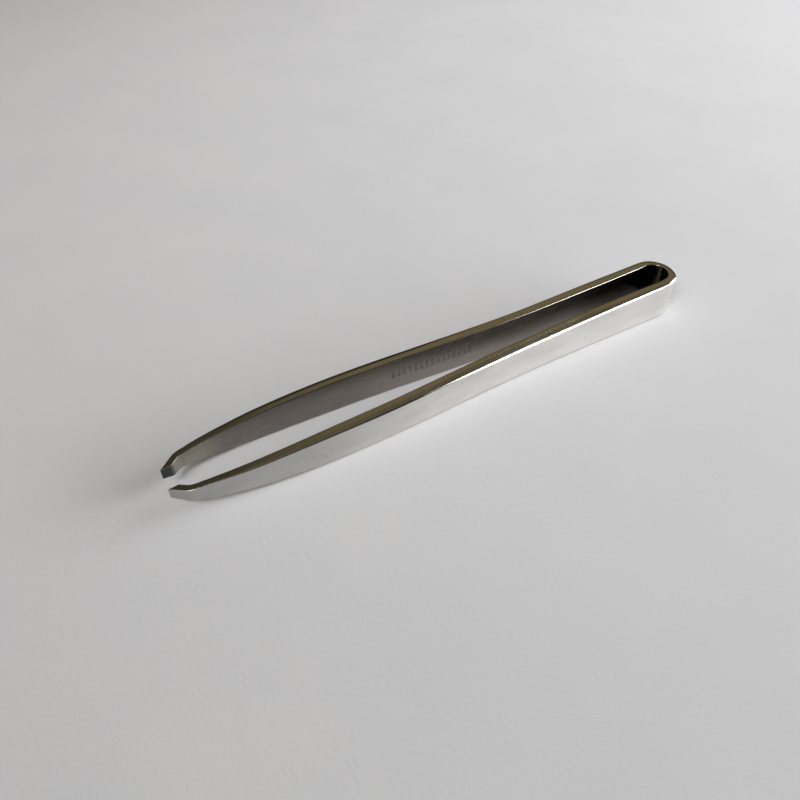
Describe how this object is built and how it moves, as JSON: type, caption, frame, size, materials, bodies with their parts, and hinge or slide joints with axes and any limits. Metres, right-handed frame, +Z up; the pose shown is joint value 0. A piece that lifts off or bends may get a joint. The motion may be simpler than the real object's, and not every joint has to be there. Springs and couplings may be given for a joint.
{
  "type": "tweezers",
  "caption": "Hairpin tweezers folded from a strip of stainless steel, with springy arms that narrow to short inturned tips with flat gripping lands.",
  "frame": {"origin": "on the surface that the tweezers stand on, under the centre of their bounding box", "axes": "+X forward to the tips, +Y to the left arm, +Z up"},
  "size_m": [0.097, 0.0116, 0.0077],
  "materials": {
    "steel_strip": "satin, with polished edges",
    "ground_tip": "satin, with ground gripping lands"
  },
  "bodies": {
    "bow": {"spring_bow": "steel_strip"},
    "left_leaf": {"left_spring_leaf": "steel_strip"},
    "left_grip": {"left_grip_rear": "steel_strip"},
    "left_jaw": {"left_grip_front": "steel_strip", "left_nose": "steel_strip", "left_tip": "ground_tip"},
    "right_leaf": {"right_spring_leaf": "steel_strip"},
    "right_grip": {"right_grip_rear": "steel_strip"},
    "right_jaw": {"right_grip_front": "steel_strip", "right_nose": "steel_strip", "right_tip": "ground_tip"}
  },
  "joints": [
    {"name": "left_bow_flex", "type": "hinge", "parent": "bow", "child": "left_leaf", "pos_m": [-0.03852, 0.00317, 0.0036], "axis": [0, 0, -1], "range_deg": [0, 0.8], "stiffness_Nm_per_rad": 0.37},
    {"name": "left_leaf_flex", "type": "hinge", "parent": "left_leaf", "child": "left_grip", "pos_m": [-0.01951, 0.00326, 0.0035], "axis": [0, 0, -1], "range_deg": [0, 0.49], "stiffness_Nm_per_rad": 0.47},
    {"name": "left_grip_flex", "type": "hinge", "parent": "left_grip", "child": "left_jaw", "pos_m": [-0.00047, 0.00393, 0.0033], "axis": [0, 0, -1], "range_deg": [0, 0.17], "stiffness_Nm_per_rad": 1},
    {"name": "right_bow_flex", "type": "hinge", "parent": "bow", "child": "right_leaf", "pos_m": [-0.03852, -0.00317, 0.0036], "axis": [0, 0, 1], "range_deg": [0, 0.8], "stiffness_Nm_per_rad": 0.37},
    {"name": "right_leaf_flex", "type": "hinge", "parent": "right_leaf", "child": "right_grip", "pos_m": [-0.01951, -0.00326, 0.0035], "axis": [0, 0, 1], "range_deg": [0, 0.49], "stiffness_Nm_per_rad": 0.47},
    {"name": "right_grip_flex", "type": "hinge", "parent": "right_grip", "child": "right_jaw", "pos_m": [-0.00047, -0.00393, 0.0033], "axis": [0, 0, 1], "range_deg": [0, 0.17], "stiffness_Nm_per_rad": 1}
  ],
  "couplings": [
    {"joint": "left_leaf_flex", "follows": "left_bow_flex", "ratio": 0.61},
    {"joint": "left_grip_flex", "follows": "left_bow_flex", "ratio": 0.21},
    {"joint": "right_bow_flex", "follows": "left_bow_flex", "ratio": 1},
    {"joint": "right_leaf_flex", "follows": "left_bow_flex", "ratio": 0.61},
    {"joint": "right_grip_flex", "follows": "left_bow_flex", "ratio": 0.21}
  ]
}
